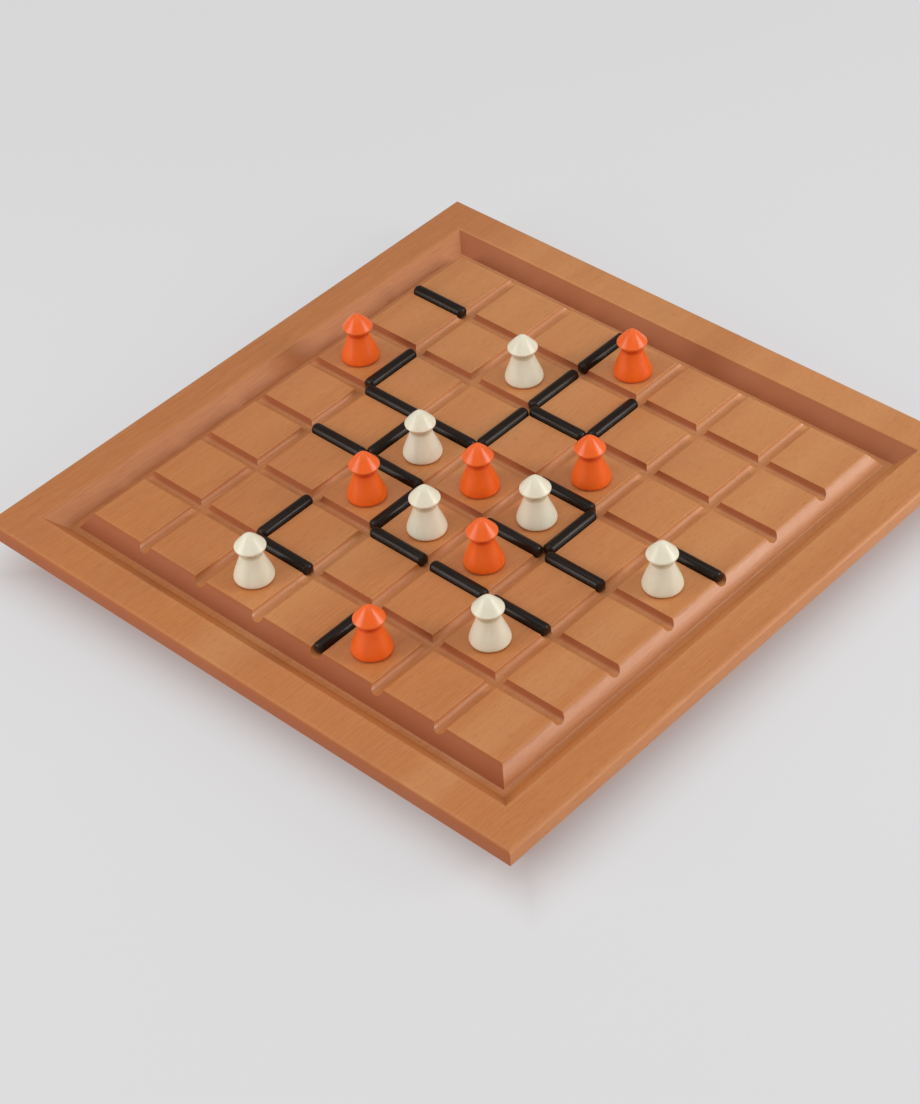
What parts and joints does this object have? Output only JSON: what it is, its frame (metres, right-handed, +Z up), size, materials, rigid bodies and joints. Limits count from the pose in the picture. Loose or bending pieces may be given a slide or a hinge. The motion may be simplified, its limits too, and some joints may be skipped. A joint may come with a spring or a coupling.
{
  "type": "strategy board game",
  "caption": "Square wooden game board with a grooved, raised field inside a moat and a flat rim, with turned pawns and round sticks that lie in the grooves.",
  "frame": {"origin": "centre of the board's underside, on the surface that it stands on", "axes": "+Z up out of the board's playing face; X and Y run along the grooves, with the wood's grain along Y; the -Y and +X sides face the viewer's corner"},
  "size_m": [0.266, 0.266, 0.0396],
  "materials": {
    "oiled_beech": "oiled, satin, fine flecked grain",
    "orange_lacquer": "satin lacquer on turned wood",
    "cream_lacquer": "satin lacquer on turned wood",
    "black_stain": "black lacquer, satin"
  },
  "bodies": {
    "board": {"board": "oiled_beech"},
    "orange_pawn_1": {"orange_pawn_1": "orange_lacquer"},
    "orange_pawn_2": {"orange_pawn_2": "orange_lacquer"},
    "orange_pawn_3": {"orange_pawn_3": "orange_lacquer"},
    "orange_pawn_4": {"orange_pawn_4": "orange_lacquer"},
    "orange_pawn_5": {"orange_pawn_5": "orange_lacquer"},
    "orange_pawn_6": {"orange_pawn_6": "orange_lacquer"},
    "orange_pawn_7": {"orange_pawn_7": "orange_lacquer"},
    "cream_pawn_1": {"cream_pawn_1": "cream_lacquer"},
    "cream_pawn_2": {"cream_pawn_2": "cream_lacquer"},
    "cream_pawn_3": {"cream_pawn_3": "cream_lacquer"},
    "cream_pawn_4": {"cream_pawn_4": "cream_lacquer"},
    "cream_pawn_5": {"cream_pawn_5": "cream_lacquer"},
    "cream_pawn_6": {"cream_pawn_6": "cream_lacquer"},
    "cream_pawn_7": {"cream_pawn_7": "cream_lacquer"},
    "stick_01": {"stick_01": "black_stain"},
    "stick_02": {"stick_02": "black_stain"},
    "stick_03": {"stick_03": "black_stain"},
    "stick_04": {"stick_04": "black_stain"},
    "stick_05": {"stick_05": "black_stain"},
    "stick_06": {"stick_06": "black_stain"},
    "stick_07": {"stick_07": "black_stain"},
    "stick_08": {"stick_08": "black_stain"},
    "stick_09": {"stick_09": "black_stain"},
    "stick_10": {"stick_10": "black_stain"},
    "stick_11": {"stick_11": "black_stain"},
    "stick_12": {"stick_12": "black_stain"},
    "stick_13": {"stick_13": "black_stain"},
    "stick_14": {"stick_14": "black_stain"},
    "stick_15": {"stick_15": "black_stain"},
    "stick_16": {"stick_16": "black_stain"},
    "stick_17": {"stick_17": "black_stain"},
    "stick_18": {"stick_18": "black_stain"},
    "stick_19": {"stick_19": "black_stain"},
    "stick_20": {"stick_20": "black_stain"},
    "stick_21": {"stick_21": "black_stain"},
    "stick_22": {"stick_22": "black_stain"},
    "stick_23": {"stick_23": "black_stain"},
    "stick_24": {"stick_24": "black_stain"}
  },
  "joints": [
    {"name": "orange_pawn_1_lift", "type": "slide", "parent": "board", "child": "orange_pawn_1", "axis": [0, 0, 1], "range_m": [0, 0.06]},
    {"name": "orange_pawn_2_lift", "type": "slide", "parent": "board", "child": "orange_pawn_2", "axis": [0, 0, 1], "range_m": [0, 0.06]},
    {"name": "orange_pawn_3_lift", "type": "slide", "parent": "board", "child": "orange_pawn_3", "axis": [0, 0, 1], "range_m": [0, 0.06]},
    {"name": "orange_pawn_4_lift", "type": "slide", "parent": "board", "child": "orange_pawn_4", "axis": [0, 0, 1], "range_m": [0, 0.06]},
    {"name": "orange_pawn_5_lift", "type": "slide", "parent": "board", "child": "orange_pawn_5", "axis": [0, 0, 1], "range_m": [0, 0.06]},
    {"name": "orange_pawn_6_lift", "type": "slide", "parent": "board", "child": "orange_pawn_6", "axis": [0, 0, 1], "range_m": [0, 0.06]},
    {"name": "orange_pawn_7_lift", "type": "slide", "parent": "board", "child": "orange_pawn_7", "axis": [0, 0, 1], "range_m": [0, 0.06]},
    {"name": "cream_pawn_1_lift", "type": "slide", "parent": "board", "child": "cream_pawn_1", "axis": [0, 0, 1], "range_m": [0, 0.06]},
    {"name": "cream_pawn_2_lift", "type": "slide", "parent": "board", "child": "cream_pawn_2", "axis": [0, 0, 1], "range_m": [0, 0.06]},
    {"name": "cream_pawn_3_lift", "type": "slide", "parent": "board", "child": "cream_pawn_3", "axis": [0, 0, 1], "range_m": [0, 0.06]},
    {"name": "cream_pawn_4_lift", "type": "slide", "parent": "board", "child": "cream_pawn_4", "axis": [0, 0, 1], "range_m": [0, 0.06]},
    {"name": "cream_pawn_5_lift", "type": "slide", "parent": "board", "child": "cream_pawn_5", "axis": [0, 0, 1], "range_m": [0, 0.06]},
    {"name": "cream_pawn_6_lift", "type": "slide", "parent": "board", "child": "cream_pawn_6", "axis": [0, 0, 1], "range_m": [0, 0.06]},
    {"name": "cream_pawn_7_lift", "type": "slide", "parent": "board", "child": "cream_pawn_7", "axis": [0, 0, 1], "range_m": [0, 0.06]},
    {"name": "stick_01_lift", "type": "slide", "parent": "board", "child": "stick_01", "axis": [0, 0, 1], "range_m": [0, 0.06]},
    {"name": "stick_02_lift", "type": "slide", "parent": "board", "child": "stick_02", "axis": [0, 0, 1], "range_m": [0, 0.06]},
    {"name": "stick_03_lift", "type": "slide", "parent": "board", "child": "stick_03", "axis": [0, 0, 1], "range_m": [0, 0.06]},
    {"name": "stick_04_lift", "type": "slide", "parent": "board", "child": "stick_04", "axis": [0, 0, 1], "range_m": [0, 0.06]},
    {"name": "stick_05_lift", "type": "slide", "parent": "board", "child": "stick_05", "axis": [0, 0, 1], "range_m": [0, 0.06]},
    {"name": "stick_06_lift", "type": "slide", "parent": "board", "child": "stick_06", "axis": [0, 0, 1], "range_m": [0, 0.06]},
    {"name": "stick_07_lift", "type": "slide", "parent": "board", "child": "stick_07", "axis": [0, 0, 1], "range_m": [0, 0.06]},
    {"name": "stick_08_lift", "type": "slide", "parent": "board", "child": "stick_08", "axis": [0, 0, 1], "range_m": [0, 0.06]},
    {"name": "stick_09_lift", "type": "slide", "parent": "board", "child": "stick_09", "axis": [0, 0, 1], "range_m": [0, 0.06]},
    {"name": "stick_10_lift", "type": "slide", "parent": "board", "child": "stick_10", "axis": [0, 0, 1], "range_m": [0, 0.06]},
    {"name": "stick_11_lift", "type": "slide", "parent": "board", "child": "stick_11", "axis": [0, 0, 1], "range_m": [0, 0.06]},
    {"name": "stick_12_lift", "type": "slide", "parent": "board", "child": "stick_12", "axis": [0, 0, 1], "range_m": [0, 0.06]},
    {"name": "stick_13_lift", "type": "slide", "parent": "board", "child": "stick_13", "axis": [0, 0, 1], "range_m": [0, 0.06]},
    {"name": "stick_14_lift", "type": "slide", "parent": "board", "child": "stick_14", "axis": [0, 0, 1], "range_m": [0, 0.06]},
    {"name": "stick_15_lift", "type": "slide", "parent": "board", "child": "stick_15", "axis": [0, 0, 1], "range_m": [0, 0.06]},
    {"name": "stick_16_lift", "type": "slide", "parent": "board", "child": "stick_16", "axis": [0, 0, 1], "range_m": [0, 0.06]},
    {"name": "stick_17_lift", "type": "slide", "parent": "board", "child": "stick_17", "axis": [0, 0, 1], "range_m": [0, 0.06]},
    {"name": "stick_18_lift", "type": "slide", "parent": "board", "child": "stick_18", "axis": [0, 0, 1], "range_m": [0, 0.06]},
    {"name": "stick_19_lift", "type": "slide", "parent": "board", "child": "stick_19", "axis": [0, 0, 1], "range_m": [0, 0.06]},
    {"name": "stick_20_lift", "type": "slide", "parent": "board", "child": "stick_20", "axis": [0, 0, 1], "range_m": [0, 0.06]},
    {"name": "stick_21_lift", "type": "slide", "parent": "board", "child": "stick_21", "axis": [0, 0, 1], "range_m": [0, 0.06]},
    {"name": "stick_22_lift", "type": "slide", "parent": "board", "child": "stick_22", "axis": [0, 0, 1], "range_m": [0, 0.06]},
    {"name": "stick_23_lift", "type": "slide", "parent": "board", "child": "stick_23", "axis": [0, 0, 1], "range_m": [0, 0.06]},
    {"name": "stick_24_lift", "type": "slide", "parent": "board", "child": "stick_24", "axis": [0, 0, 1], "range_m": [0, 0.06]}
  ]
}
